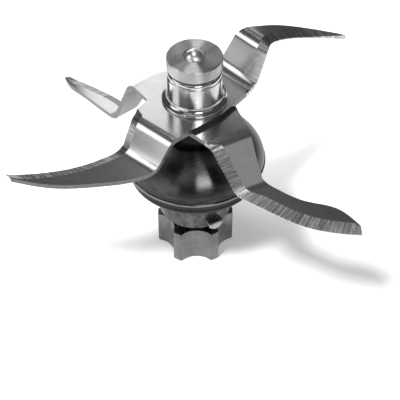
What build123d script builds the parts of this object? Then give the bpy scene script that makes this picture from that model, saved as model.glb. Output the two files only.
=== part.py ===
from build123d import *
import os
from math import acos, cos, degrees, hypot, radians, sin, tan
from typing import NamedTuple

# Blade assembly of a cook-and-blend jug: four bent blades on a spindle that runs in a sealed base.
# Millimetres, +Z up the spindle, origin on the axis in the plane of the coupling's foot.

# Fits
FIXED_FIT = 0.02
SEAL_RUNNING_GAP = 0.05
BALL_GAP = 0.08
CAGE_GAP = 0.12

# Spindle
SHAFT_RADIUS = 4.0
SHAFT_FLAT = 3.3
SHAFT_TIP_RADIUS = 3.0
SHAFT_TIP_RISE = 1.6
SHAFT_TIP_CROWN = 1.9

# Drive coupling
COUPLING_HEIGHT = 12.3
LOBE_COUNT = 6
LOBE_RADIUS = 12.0
FLUTE_FLOOR = 9.0
FLUTE_RADIUS = 6.3
LOBE_PHASE = 1.5
LOBE_ROUND = 0.7
COUPLING_CHAMFER = 0.5
COUPLING_BOSS_RADIUS = 5.0
SCREW_POCKET_RADIUS = 4.6
SCREW_POCKET_DEPTH = 4.2

# Coupling screw and its washer
SCREW_RADIUS = 2.0
SCREW_LENGTH = 9.0
SCREW_HEAD_RADIUS = 3.4
SCREW_HEAD_HEIGHT = 2.4
SCREW_HEX_FLATS = 2.5
SCREW_HEX_DEPTH = 1.3
WASHER_RADIUS = 4.3
WASHER_THICKNESS = 0.8
SHAFT_END_GAP = 0.6

# Base housing
COUPLING_GAP = 3.1
NECK_RADIUS = 11.2
NECK_LENGTH = 12.6
SPIGOT_RADIUS = 14.0
SPIGOT_LENGTH = 3.15
LEDGE_RADIUS = 20.9
LEDGE_THICKNESS = 1.6
REGISTER_RADIUS = 20.5
REGISTER_HEIGHT = 1.8
BOSS_RADIUS = 10.4
WEB_BORE_RADIUS = 6.8
BOSS_LIP = 0.5
HOUSING_EDGE = 0.4

# Sealing ring on the jug's floor
RING_RADIUS = 20.2
RING_SEAT_RADIUS = 14.4
RING_THICKNESS = 2.6
RING_LIP = 0.95
RING_GROOVE_DEPTH = 0.7

# Bell cover
BELL_RIM_RADIUS = 21.5
BELL_WALL_RADIUS = 21.2
BELL_LIP = 0.9
BELL_RISE = 11.4
BELL_WALL = 0.6
BELL_HOLE_RADIUS = 5.7

# Bayonet pins
PIN_RADIUS = 2.4
PIN_REACH = 13.9
PIN_ROOT = 8.9
PIN_FLAT = 0.4
PIN_RISE = 3.6
PIN_AZIMUTH = -62.0
PIN_COUNT = 2
PIN_EDGE = 0.3

# Ball bearings
BEARING_WIDTH = 5.0
BEARING_RADIUS = 8.0
BEARING_INSET = 2.0
BEARING_SPAN = 16.6
INNER_LAND_RADIUS = 5.0
OUTER_LAND_RADIUS = 7.1
BALL_RADIUS = 1.25
BALL_COUNT = 7
CAGE_HEIGHT = 3.6
CAGE_WALL = 0.9

# Retaining clip in the housing's bore
CLIP_THICKNESS = 1.0
CLIP_WIDTH = 1.3
CLIP_GROOVE_DEPTH = 0.45
CLIP_GAP_DEGREES = 50.0
CLIP_EAR_RADIUS = 1.1
CLIP_EAR_HOLE = 0.45

# Lip seal round the spindle and its garter spring
LIP_SEAL_WIDTH = 4.0
LIP_SEAL_INSET = 0.3
LIP_SEAL_WALL = 0.9
LIP_SEAL_FLOOR = 1.1
LIP_THICKNESS = 0.7
SPRING_WIRE_RADIUS = 0.4

# Blade seat that carries the strips over the bell
SEAT_RADIUS = 9.8
SEAT_SPIGOT_RADIUS = 5.0
SEAT_SKIRT_WALL = 1.1
SEAT_SKIRT_GAP = 0.7
SEAT_CROWN_GAP = 0.7
SEAT_EDGE = 0.5
CROWN_TO_BLADE = 8.55

# Blade strips
BLADE_THICKNESS = 1.5
HUB_RADIUS = 10.6
BEND_RADIUS = 4.5
BEVEL_WIDTH = 3.1
HEEL_RUN = 1.4
EDGE_BREAK = 0.2
ROOT_RUN = 0.5
EDGE_THICKNESS = 0.3
BEND_STEPS = 4
SWEEP_STEPS = 9
OUTLINE_TOLERANCE = 1e-6

# Hub collar
COLLAR_FLANGE_RADIUS = 9.6
COLLAR_FLANGE_EDGE = 0.8
COLLAR_BODY_RADIUS = 7.9
COLLAR_FLARE_HEIGHT = 2.5
COLLAR_BODY_HEIGHT = 6.5
COLLAR_GROOVE = 0.25
COLLAR_BEAD_RADIUS = 8.0
COLLAR_BEAD_HEIGHT = 1.7
COLLAR_BEAD_ROUND = 0.9
COLLAR_NECK_RADIUS = 6.4
COLLAR_NECK_HEIGHT = 0.7

# Top cap
CAP_RADIUS = 8.05
CAP_THICKNESS = 4.0
CAP_CHAMFER = 0.3
CAP_COUNTERSINK = 0.4


class Arm(NamedTuple):
    """One blade arm in its own plan axes: along the arm, then across it to the left."""

    azimuth: float
    heel: float
    first_bend: float
    slope: float
    second_bend: float
    tilt: float
    leading: tuple
    trailing: tuple


# Plan outlines: root, second bend, then the sweep out to the tip
FRONT_LEFT = Arm(
    azimuth=229.0, heel=14.5, first_bend=18.2, slope=51.0, second_bend=24.5, tilt=3.0,
    leading=((14.2, -9.4), (23.4, -7.5), (30.7, -10.0), (37.7, -13.6), (43.7, -18.3), (51.6, -26.4)),
    trailing=((14.2, 8.0), (23.4, 6.9), (28.9, 4.5), (36.9, -1.9), (46.2, -12.1), (52.0, -23.4)),
)
BACK_RIGHT = Arm(
    azimuth=43.0, heel=15.6, first_bend=15.8, slope=-63.0, second_bend=21.8, tilt=10.0,
    leading=((14.6, -8.4), (21.5, -7.3), (26.6, -5.9), (32.3, -7.0), (41.4, -12.2), (46.6, -15.9)),
    trailing=((14.6, 7.2), (21.5, 4.4), (26.6, 2.2), (31.1, 0.2), (39.0, -6.6), (45.2, -14.1)),
)
FRONT_RIGHT = Arm(
    azimuth=-62.0, heel=18.2, first_bend=19.0, slope=46.0, second_bend=29.5, tilt=9.0,
    leading=((17.8, -5.2), (29.1, -2.3), (36.7, 3.0), (43.5, 7.7), (48.2, 12.2), (55.5, 23.2)),
    trailing=((17.8, 7.9), (28.0, 6.4), (33.0, 9.3), (39.5, 14.2), (45.3, 21.0), (53.2, 24.0)),
)
BACK_LEFT = Arm(
    azimuth=130.0, heel=16.8, first_bend=19.1, slope=65.4, second_bend=27.6, tilt=7.0,
    leading=((17.4, -2.2), (27.6, 2.6), (38.6, 2.8), (45.4, 3.8), (51.9, 5.0), (57.1, 6.6)),
    trailing=((17.4, 9.6), (27.6, 9.9), (36.9, 9.8), (46.4, 9.6), (53.6, 9.4), (56.9, 8.4)),
)

# Levels up the axis
NECK_Z = COUPLING_HEIGHT + COUPLING_GAP
SPIGOT_Z = NECK_Z + NECK_LENGTH
FLOOR_Z = SPIGOT_Z + SPIGOT_LENGTH
FLANGE_Z = FLOOR_Z + RING_THICKNESS
LEDGE_Z = FLANGE_Z + LEDGE_THICKNESS
LOWER_BEARING_Z = NECK_Z + BEARING_INSET
UPPER_BEARING_Z = LOWER_BEARING_Z + BEARING_SPAN
LIP_SEAL_Z = UPPER_BEARING_Z + BEARING_WIDTH + LIP_SEAL_INSET
BOSS_Z = LIP_SEAL_Z + LIP_SEAL_WIDTH + BOSS_LIP
BELL_WALL_Z = LEDGE_Z + BELL_LIP
CROWN_Z = BELL_WALL_Z + BELL_RISE
LOWER_BLADE_Z = CROWN_Z + CROWN_TO_BLADE
UPPER_BLADE_Z = LOWER_BLADE_Z + BLADE_THICKNESS
COLLAR_Z = UPPER_BLADE_Z + BLADE_THICKNESS
COLLAR_BODY_Z = COLLAR_Z + COLLAR_FLARE_HEIGHT
COLLAR_BEAD_Z = COLLAR_BODY_Z + COLLAR_BODY_HEIGHT
CAP_Z = COLLAR_BEAD_Z + COLLAR_BEAD_HEIGHT + COLLAR_NECK_HEIGHT
CAP_TOP_Z = CAP_Z + CAP_THICKNESS
WASHER_Z = SCREW_POCKET_DEPTH - WASHER_THICKNESS
SHAFT_Z = SCREW_POCKET_DEPTH + SHAFT_END_GAP
BALL_PITCH_RADIUS = (INNER_LAND_RADIUS + OUTER_LAND_RADIUS) / 2


def turned(*outline):
    """Solid turned from a closed outline of (radius, height) points."""
    face = make_face(Polyline(*[(r, 0, z) for r, z in outline], close=True))
    return revolve(face, Axis.Z)


def ring(inner, outer, z, height):
    """Plain ring standing on the level z."""
    return turned((inner, z), (outer, z), (outer, z + height), (inner, z + height))


def spindle_section(clearance=0.0):
    """Round bar with two flats, which the blades and the coupling sit on."""
    bar = Circle(SHAFT_RADIUS + clearance)
    return bar & Rectangle(2 * (SHAFT_FLAT + clearance), 4 * SHAFT_RADIUS)


def spindle_hole(z, height):
    """Cutter for a hole that grips the spindle's flats."""
    return extrude(Pos(0, 0, z) * spindle_section(FIXED_FIT), height)


def milled_flats(z, height):
    """Cutter that leaves the spindle's two flats over a height."""
    side = Pos(0, 0, z + height / 2) * Box(2 * SHAFT_RADIUS, 4 * SHAFT_RADIUS, height)
    return [Pos(sign * (SHAFT_FLAT + SHAFT_RADIUS), 0, 0) * side for sign in (-1, 1)]


def drive_shaft():
    """Spindle: a turned bar with a stepped, domed top, flats at both ends and a tapped foot."""
    step_z = CAP_Z - FIXED_FIT
    dome_z = CAP_TOP_Z + SHAFT_TIP_RISE
    shoulder_z = dome_z - SHAFT_TIP_CROWN
    dome_radius = (SHAFT_TIP_RADIUS**2 + SHAFT_TIP_CROWN**2) / (2 * SHAFT_TIP_CROWN)
    tapped = SCREW_RADIUS + FIXED_FIT
    tapped_z = SHAFT_Z + SCREW_LENGTH
    with BuildSketch(Plane.XZ) as half:
        with BuildLine():
            Polyline(
                (0, dome_z), (0, tapped_z), (tapped, tapped_z), (tapped, SHAFT_Z), (SHAFT_RADIUS, SHAFT_Z),
                (SHAFT_RADIUS, step_z), (SHAFT_TIP_RADIUS, step_z), (SHAFT_TIP_RADIUS, shoulder_z),
            )
            RadiusArc((SHAFT_TIP_RADIUS, shoulder_z), (0, dome_z), -dome_radius)
        make_face()
    bar = revolve(half.sketch, Axis.Z)
    bar -= milled_flats(SHAFT_Z, COUPLING_HEIGHT - SHAFT_Z)
    return bar - milled_flats(LOWER_BLADE_Z, step_z - LOWER_BLADE_Z)


def drive_coupling():
    """Six-lobed star with a screw pocket in its foot and a boss up to the bearing."""
    flute = PolarLocations(FLUTE_FLOOR + FLUTE_RADIUS, LOBE_COUNT, 180 / LOBE_COUNT + LOBE_PHASE)
    star = Circle(LOBE_RADIUS) - [place * Circle(FLUTE_RADIUS) for place in flute]
    star = fillet(star.vertices(), LOBE_ROUND)
    body = extrude(star, COUPLING_HEIGHT)
    body = chamfer(body.edges().group_by(Axis.Z)[0], COUPLING_CHAMFER)
    body = chamfer(body.edges().group_by(Axis.Z)[-1], COUPLING_CHAMFER)
    body += ring(SHAFT_RADIUS, COUPLING_BOSS_RADIUS, COUPLING_HEIGHT, LOWER_BEARING_Z - COUPLING_HEIGHT)
    body -= spindle_hole(0, COUPLING_HEIGHT)
    body -= Pos(0, 0, COUPLING_HEIGHT) * extrude(Circle(SHAFT_RADIUS + FIXED_FIT), LOWER_BEARING_Z)
    return body - extrude(Circle(SCREW_POCKET_RADIUS), SCREW_POCKET_DEPTH)


def coupling_washer():
    """Washer between the screw's head and the floor of the pocket."""
    return ring(SCREW_RADIUS + FIXED_FIT, WASHER_RADIUS, WASHER_Z, WASHER_THICKNESS)


def coupling_screw():
    """Socket-head screw that pulls the whole stack together from below."""
    head_z = WASHER_Z - SCREW_HEAD_HEIGHT
    head = Pos(0, 0, head_z) * extrude(Circle(SCREW_HEAD_RADIUS), SCREW_HEAD_HEIGHT)
    head = chamfer(head.edges().group_by(Axis.Z)[0], CAP_CHAMFER)
    shank = Pos(0, 0, WASHER_Z) * extrude(Circle(SCREW_RADIUS), SCREW_LENGTH)
    socket = RegularPolygon(SCREW_HEX_FLATS / 2, 6, major_radius=False)
    return head + shank - Pos(0, 0, head_z) * extrude(socket, SCREW_HEX_DEPTH)


def pin_places():
    """Where the bayonet pins stand, each looking out along its own radius."""
    turns = [PIN_AZIMUTH + 360 / PIN_COUNT * index for index in range(PIN_COUNT)]
    return [Rot(0, 0, turn) * Pos(0, 0, NECK_Z + PIN_RISE) * Rot(0, 90, 0) for turn in turns]


def base_housing():
    """Turned base: neck, spigot, flange under the bell and the boss that holds the seal."""
    pocket = BEARING_RADIUS + FIXED_FIT
    register_z = LEDGE_Z + REGISTER_HEIGHT
    web_z = LOWER_BEARING_Z + BEARING_WIDTH
    groove_z = LOWER_BEARING_Z - CLIP_THICKNESS - FIXED_FIT
    groove = pocket + CLIP_GROOVE_DEPTH
    body = turned(
        (NECK_RADIUS - HOUSING_EDGE, NECK_Z), (NECK_RADIUS, NECK_Z + HOUSING_EDGE), (NECK_RADIUS, SPIGOT_Z),
        (SPIGOT_RADIUS - HOUSING_EDGE, SPIGOT_Z), (SPIGOT_RADIUS, SPIGOT_Z + HOUSING_EDGE),
        (SPIGOT_RADIUS, FLOOR_Z), (RING_SEAT_RADIUS, FLOOR_Z), (RING_SEAT_RADIUS, FLANGE_Z),
        (LEDGE_RADIUS, FLANGE_Z), (LEDGE_RADIUS, LEDGE_Z),
        (REGISTER_RADIUS, LEDGE_Z), (REGISTER_RADIUS, register_z), (BOSS_RADIUS, register_z),
        (BOSS_RADIUS, BOSS_Z - HOUSING_EDGE), (BOSS_RADIUS - HOUSING_EDGE, BOSS_Z), (pocket, BOSS_Z),
        (pocket, UPPER_BEARING_Z), (WEB_BORE_RADIUS, UPPER_BEARING_Z), (WEB_BORE_RADIUS, web_z),
        (pocket, web_z), (pocket, LOWER_BEARING_Z), (groove, LOWER_BEARING_Z), (groove, groove_z),
        (pocket, groove_z), (pocket, NECK_Z),
    )
    hole = Pos(0, 0, PIN_ROOT - FIXED_FIT) * extrude(Circle(PIN_RADIUS + FIXED_FIT), NECK_RADIUS)
    return body - [place * hole for place in pin_places()]


def bayonet_pins():
    """Half-flattened pins pressed into the neck, which lock the base under the jug."""
    pin = Pos(0, 0, PIN_ROOT) * extrude(Circle(PIN_RADIUS), PIN_REACH - PIN_ROOT)
    pin = chamfer(pin.edges().group_by(Axis.Z)[-1], PIN_EDGE)
    flat = Pos(-PIN_FLAT - PIN_RADIUS, 0, NECK_RADIUS) * Box(2 * PIN_RADIUS, 4 * PIN_RADIUS, 2 * NECK_RADIUS)
    flat &= Pos(0, 0, PIN_ROOT + PIN_RADIUS / 2) * extrude(Circle(NECK_RADIUS), NECK_RADIUS)
    return Compound(children=[place * (pin - flat) for place in pin_places()])


def sealing_ring():
    """Rubber ring under the flange, with a grooved rim that leaves a lip below."""
    lip_z = FLOOR_Z + RING_LIP
    middle_z = (lip_z + FLANGE_Z) / 2
    inner = RING_SEAT_RADIUS + FIXED_FIT
    return turned(
        (inner, FLOOR_Z), (RING_RADIUS - RING_GROOVE_DEPTH / 2, FLOOR_Z),
        (RING_RADIUS, FLOOR_Z + RING_GROOVE_DEPTH / 2), (RING_RADIUS, lip_z),
        (RING_RADIUS - RING_GROOVE_DEPTH, middle_z), (RING_RADIUS - RING_GROOVE_DEPTH, FLANGE_Z),
        (inner, FLANGE_Z),
    )


def bell_cover():
    """Thin domed shell with a rolled rim that stands on the housing's ledge."""
    inner_radius = BELL_WALL_RADIUS - BELL_WALL
    inner_rise = BELL_RISE - BELL_WALL
    outer_end = acos(BELL_HOLE_RADIUS / BELL_WALL_RADIUS)
    inner_end = acos(BELL_HOLE_RADIUS / inner_radius)
    centre = (0, BELL_WALL_Z)
    with BuildSketch(Plane.XZ) as wall:
        with BuildLine():
            outer = EllipticalCenterArc(centre, BELL_WALL_RADIUS, BELL_RISE, arc_size=degrees(outer_end))
            inner = EllipticalCenterArc(centre, inner_radius, inner_rise, arc_size=degrees(inner_end))
            Line(outer @ 1, inner @ 1)
            Line(inner @ 0, outer @ 0)
        make_face()
    lip = ring(inner_radius, BELL_RIM_RADIUS, LEDGE_Z, BELL_LIP)
    lip = fillet(lip.edges().filter_by(GeomType.CIRCLE).sort_by(SortBy.RADIUS)[-2:], BELL_LIP / 3)
    return revolve(wall.sketch, Axis.Z) + lip


def blade_seat():
    """Flanged sleeve under the strips: its spigot runs in the lip seal, its skirt shields the bell."""
    race_z = UPPER_BEARING_Z + BEARING_WIDTH
    roof_z = CROWN_Z + SEAT_CROWN_GAP
    skirt_radius = SEAT_RADIUS - SEAT_SKIRT_WALL
    bell_z = BELL_WALL_Z + BELL_RISE * (1 - (skirt_radius / BELL_WALL_RADIUS) ** 2) ** 0.5
    skirt_z = bell_z + SEAT_SKIRT_GAP
    return turned(
        (SHAFT_RADIUS + FIXED_FIT, race_z), (SEAT_SPIGOT_RADIUS, race_z), (SEAT_SPIGOT_RADIUS, roof_z),
        (skirt_radius, roof_z), (skirt_radius, skirt_z), (SEAT_RADIUS, skirt_z),
        (SEAT_RADIUS, LOWER_BLADE_Z - SEAT_EDGE), (SEAT_RADIUS - SEAT_EDGE, LOWER_BLADE_Z),
        (SHAFT_RADIUS + FIXED_FIT, LOWER_BLADE_Z),
    )


def shaft_seal():
    """Lip seal pressed into the boss, its lip leaning on the seat's spigot."""
    outer = BEARING_RADIUS
    lip = SEAT_SPIGOT_RADIUS + SEAL_RUNNING_GAP
    top = LIP_SEAL_Z + LIP_SEAL_WIDTH
    floor_z = LIP_SEAL_Z + LIP_SEAL_FLOOR
    lip_z = LIP_SEAL_Z + LIP_SEAL_WIDTH * 0.65
    return turned(
        (lip + LIP_THICKNESS, LIP_SEAL_Z), (outer, LIP_SEAL_Z), (outer, top), (outer - LIP_SEAL_WALL, top),
        (outer - LIP_SEAL_WALL, floor_z), (lip + 2 * LIP_THICKNESS, floor_z), (lip + LIP_THICKNESS, lip_z),
        (lip + LIP_THICKNESS, top - LIP_THICKNESS), (lip + LIP_THICKNESS / 2, top - LIP_THICKNESS),
        (lip, lip_z),
    )


def seal_spring():
    """Garter spring that holds the seal's lip closed."""
    lip = SEAT_SPIGOT_RADIUS + SEAL_RUNNING_GAP + LIP_THICKNESS
    centre_z = LIP_SEAL_Z + LIP_SEAL_WIDTH * 0.65 + SPRING_WIRE_RADIUS / 2
    return Pos(0, 0, centre_z) * Torus(lip + FIXED_FIT + SPRING_WIRE_RADIUS, SPRING_WIRE_RADIUS)


def race_groove(z):
    """Cutter for the ball track of a bearing that stands on the level z."""
    return Pos(0, 0, z + BEARING_WIDTH / 2) * Torus(BALL_PITCH_RADIUS, BALL_RADIUS + BALL_GAP)


def inner_race(z):
    """Inner ring of a ball bearing, on the spindle."""
    return ring(SHAFT_RADIUS + FIXED_FIT, INNER_LAND_RADIUS, z, BEARING_WIDTH) - race_groove(z)


def outer_race(z):
    """Outer ring of a ball bearing, in the housing."""
    return ring(OUTER_LAND_RADIUS, BEARING_RADIUS, z, BEARING_WIDTH) - race_groove(z)


def ball_places(z):
    """Centres of a bearing's balls."""
    return Pos(0, 0, z + BEARING_WIDTH / 2) * PolarLocations(BALL_PITCH_RADIUS, BALL_COUNT)


def bearing_balls(z):
    """Balls of one bearing."""
    return Compound(children=[place * Sphere(BALL_RADIUS) for place in ball_places(z)])


def ball_cage(z):
    """Cage that spaces the balls of one bearing."""
    low = z + (BEARING_WIDTH - CAGE_HEIGHT) / 2
    band = ring(BALL_PITCH_RADIUS - CAGE_WALL / 2, BALL_PITCH_RADIUS + CAGE_WALL / 2, low, CAGE_HEIGHT)
    pocket = Rot(0, 90, 0) * Cylinder(BALL_RADIUS + CAGE_GAP, 2 * BALL_RADIUS)
    return band - [place * pocket for place in ball_places(z)]


def race_spacer():
    """Sleeve between the two inner rings."""
    low = LOWER_BEARING_Z + BEARING_WIDTH
    return ring(SHAFT_RADIUS + FIXED_FIT, INNER_LAND_RADIUS, low, UPPER_BEARING_Z - low)


def bore_clip():
    """Spring clip in the neck that keeps the lower bearing in."""
    outer = BEARING_RADIUS + CLIP_GROOVE_DEPTH
    inner = outer - CLIP_WIDTH
    half = radians(CLIP_GAP_DEGREES / 2)
    ears = [Pos(inner * cos(side * half), inner * sin(side * half)) for side in (-1, 1)]
    band = Circle(outer) - Circle(inner)
    band -= make_face(Polyline((0, 0), (4 * cos(half) * outer, 4 * sin(half) * outer),
                               (4 * cos(half) * outer, -4 * sin(half) * outer), close=True))
    band += [ear * Circle(CLIP_EAR_RADIUS) for ear in ears]
    band -= [ear * Circle(CLIP_EAR_HOLE) for ear in ears]
    return extrude(Pos(0, 0, LOWER_BEARING_Z - CLIP_THICKNESS) * band, CLIP_THICKNESS)


def hub_collar():
    """Spool over the strips: flange, flare, straight body, groove and bead, then a narrow neck."""
    flange_z = COLLAR_Z + COLLAR_FLANGE_EDGE
    bead_top = COLLAR_BEAD_Z + COLLAR_BEAD_HEIGHT
    bore = SHAFT_RADIUS + FIXED_FIT
    with BuildSketch(Plane.XZ) as section:
        with BuildLine():
            Polyline((COLLAR_BODY_RADIUS, COLLAR_BEAD_Z), (COLLAR_BODY_RADIUS, COLLAR_BODY_Z))
            TangentArc((COLLAR_BODY_RADIUS, COLLAR_BODY_Z), (COLLAR_FLANGE_RADIUS, flange_z), tangent=(0, -1))
            Polyline((COLLAR_FLANGE_RADIUS, flange_z), (COLLAR_FLANGE_RADIUS, COLLAR_Z), (bore, COLLAR_Z),
                     (bore, CAP_Z), (COLLAR_NECK_RADIUS, CAP_Z), (COLLAR_NECK_RADIUS, bead_top),
                     (COLLAR_BEAD_RADIUS - COLLAR_BEAD_ROUND, bead_top))
            ThreePointArc((COLLAR_BEAD_RADIUS - COLLAR_BEAD_ROUND, bead_top),
                          (COLLAR_BEAD_RADIUS, (bead_top + COLLAR_BEAD_Z) / 2),
                          (COLLAR_BODY_RADIUS, COLLAR_BEAD_Z))
        make_face()
    groove = Pos(0, 0, COLLAR_BEAD_Z) * Torus(COLLAR_BODY_RADIUS, COLLAR_GROOVE)
    return revolve(section.sketch, Axis.Z) - groove


def top_cap():
    """Turned cap pressed over the spindle's stepped end."""
    cap = ring(SHAFT_TIP_RADIUS + FIXED_FIT, CAP_RADIUS, CAP_Z, CAP_THICKNESS)
    rims = cap.edges().filter_by(GeomType.CIRCLE)
    cap = chamfer(rims.filter_by(lambda edge: edge.radius > CAP_COUNTERSINK + SHAFT_RADIUS), CAP_CHAMFER)
    mouth = Pos(0, 0, CAP_TOP_Z - CAP_COUNTERSINK / 2)
    sink = Cone(SHAFT_TIP_RADIUS, SHAFT_TIP_RADIUS + CAP_COUNTERSINK, CAP_COUNTERSINK)
    return cap - mouth * sink


class BentSheet:
    """Top face of a strip along one arm: flat, first bend, slope, second bend, tilted blade."""

    def __init__(self, arm, top_z):
        self.arm = arm
        self.slope = radians(arm.slope)
        self.tilt = radians(arm.tilt)
        self.top_z = top_z
        self.low_z = top_z - (arm.second_bend - arm.first_bend) * tan(self.slope)

    def first_bend(self):
        """Stations round the bend from the flat to the slope."""
        return bend_stations(self.arm.first_bend, self.top_z, 0.0, self.slope)

    def second_bend(self):
        """Stations round the bend from the slope to the blade."""
        return bend_stations(self.arm.second_bend, self.low_z, self.slope, self.tilt)

    def blade_height(self, out):
        """Height of the tilted blade at a distance out."""
        return self.low_z - (out - self.arm.second_bend) * tan(self.tilt)


def bend_stations(vertex, z, before, after):
    """Points (distance out, height, slope angle) on an arc that rounds off one bend."""
    turn = after - before
    side = 1 if turn > 0 else -1
    reach = BEND_RADIUS * tan(abs(turn) / 2)
    centre_out = vertex - reach * cos(before) - side * BEND_RADIUS * sin(before)
    centre_z = z + reach * sin(before) - side * BEND_RADIUS * cos(before)
    stations = []
    for step in range(BEND_STEPS + 1):
        angle = before + turn * step / BEND_STEPS
        out = centre_out + side * BEND_RADIUS * sin(angle)
        stations.append((out, centre_z + side * BEND_RADIUS * cos(angle), angle))
    return stations


def root_distance(arm):
    """How far out the flat middle of the strip ends: before both the heel and the first bend."""
    bend_start = arm.first_bend - BEND_RADIUS * tan(abs(radians(arm.slope)) / 2)
    return min(arm.heel, bend_start - ROOT_RUN)


def ground_share(arm, out):
    """Share of the full bevel at a distance out: a broken edge up to the heel, then a short run."""
    return min(max((out - arm.heel) / HEEL_RUN, EDGE_BREAK), 1.0)


def sweep_curve(points):
    """Plan curve of an edge from its second bend to the tip."""
    return Spline(*points[1:])


def edge_point(points, out):
    """Where an edge stands at a distance out: straight to its second bend, then on the sweep."""
    (u0, v0), (u1, v1) = points[0], points[1]
    if out <= u1:
        return out, v0 + (v1 - v0) * (out - u0) / (u1 - u0)
    sweep = sweep_curve(points)
    low, high = 0.0, 0.5
    while high - low > OUTLINE_TOLERANCE:
        middle = (low + high) / 2
        low, high = (middle, high) if (sweep @ middle).X < out else (low, middle)
    return out, (sweep @ low).Y


def section(lead, trail, lead_z, trail_z, angle, bevel, share=1.0):
    """Five-sided slice of the sheet: square at the back edge, ground to a thin edge in front."""
    along = (sin(angle), cos(angle))
    across = min(bevel * share / hypot(trail[0] - lead[0], trail[1] - lead[1]), 0.8)
    ridge = tuple(a + (b - a) * across for a, b in zip((*lead, lead_z), (*trail, trail_z)))

    def sunk(point, depth):
        return (point[0] - depth * along[0], point[1], point[2] - depth * along[1])

    front = (*lead, lead_z)
    back = (*trail, trail_z)
    ground = (BLADE_THICKNESS - EDGE_THICKNESS) * share
    return [back, ridge, sunk(front, ground), sunk(front, BLADE_THICKNESS), sunk(back, BLADE_THICKNESS)]


def bent_sections(arm, stations):
    """Slices square across the arm at stations on its bends."""
    slices = []
    for out, z, angle in stations:
        lead = edge_point(arm.leading, out)
        trail = edge_point(arm.trailing, out)
        slices.append(section(lead, trail, z, z, angle, BEVEL_WIDTH, ground_share(arm, out)))
    return slices


def swept_sections(arm, sheet):
    """Slices across the blade, from a little past its second bend to its tip."""
    leading = sweep_curve(arm.leading)
    trailing = sweep_curve(arm.trailing)
    slices = []
    for step in range(2, SWEEP_STEPS + 1):
        lead = leading @ (step / SWEEP_STEPS)
        trail = trailing @ (step / SWEEP_STEPS)
        chord = (trail - lead).normalized()
        heading = leading % (step / SWEEP_STEPS)
        skew = abs(heading.X * chord.Y - heading.Y * chord.X)
        heights = sheet.blade_height(lead.X), sheet.blade_height(trail.X)
        slices.append(section((lead.X, lead.Y), (trail.X, trail.Y), *heights, sheet.tilt, BEVEL_WIDTH / skew))
    return slices


def sheet_loft(slices):
    """Solid through a row of slices."""
    wires = [Wire.make_polygon([Vector(*point) for point in points]) for points in slices]
    return Solid.make_loft(wires, len(wires) == 2)


def blade_arm(arm, top_z):
    """One arm: root, first bend, slope, second bend and swept blade, each ground along its front."""
    sheet = BentSheet(arm, top_z)
    root = bent_sections(arm, [(root_distance(arm), top_z, 0.0)])
    first = bent_sections(arm, sheet.first_bend())
    second = bent_sections(arm, sheet.second_bend())
    blade = swept_sections(arm, sheet)
    runs = [root + first[:1], first, first[-1:] + second[:1], second, second[-1:] + blade]
    solid = sheet_loft(runs[0])
    for run in runs[1:]:
        solid += sheet_loft(run)
    return Rot(0, 0, arm.azimuth) * solid


def hub_plate(arms, low_z):
    """Flat middle of a strip, out to where the arms' ground edges start."""
    plate = Circle(HUB_RADIUS)
    for arm in arms:
        root = root_distance(arm)
        ends = [edge_point(arm.leading, root), edge_point(arm.trailing, root)]
        corners = [(0, -HUB_RADIUS), *ends, (0, HUB_RADIUS)]
        plate += Rot(0, 0, arm.azimuth) * make_face(Polyline(*corners, close=True))
    return extrude(Pos(0, 0, low_z) * plate, BLADE_THICKNESS)


def blade_strip(arms, low_z):
    """Two arms and the plate between them as one strip, with the spindle's hole."""
    strip = hub_plate(arms, low_z)
    for arm in arms:
        strip += blade_arm(arm, low_z + BLADE_THICKNESS)
    return strip - spindle_hole(low_z, BLADE_THICKNESS)


def all_parts():
    """Every piece by its name."""
    return {
        "drive_shaft": drive_shaft(),
        "top_cap": top_cap(),
        "hub_collar": hub_collar(),
        "upper_blade": blade_strip((FRONT_LEFT, BACK_RIGHT), UPPER_BLADE_Z),
        "lower_blade": blade_strip((FRONT_RIGHT, BACK_LEFT), LOWER_BLADE_Z),
        "blade_seat": blade_seat(),
        "bell_cover": bell_cover(),
        "base_housing": base_housing(),
        "sealing_ring": sealing_ring(),
        "bayonet_pins": bayonet_pins(),
        "shaft_seal": shaft_seal(),
        "seal_spring": seal_spring(),
        "upper_outer_race": outer_race(UPPER_BEARING_Z),
        "upper_inner_race": inner_race(UPPER_BEARING_Z),
        "upper_cage": ball_cage(UPPER_BEARING_Z),
        "upper_balls": bearing_balls(UPPER_BEARING_Z),
        "race_spacer": race_spacer(),
        "lower_outer_race": outer_race(LOWER_BEARING_Z),
        "lower_inner_race": inner_race(LOWER_BEARING_Z),
        "lower_cage": ball_cage(LOWER_BEARING_Z),
        "lower_balls": bearing_balls(LOWER_BEARING_Z),
        "bore_clip": bore_clip(),
        "drive_coupling": drive_coupling(),
        "coupling_washer": coupling_washer(),
        "coupling_screw": coupling_screw(),
    }


os.makedirs("parts", exist_ok=True)
for name, shape in all_parts().items():
    export_step(shape, f"parts/{name}.step")
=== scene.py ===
"""Dresses a jug's blade assembly: finely meshed pieces, metal and rubber finishes, lights and camera."""

from math import acos, atan2, cos, pi, radians, sin, sqrt, tan
from typing import NamedTuple

import bmesh
import bpy
import numpy as np
from bpy.props import FloatProperty, FloatVectorProperty, IntProperty, PointerProperty
from bpy.types import Operator, Panel, PropertyGroup
from mathutils import Matrix, Vector


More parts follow.
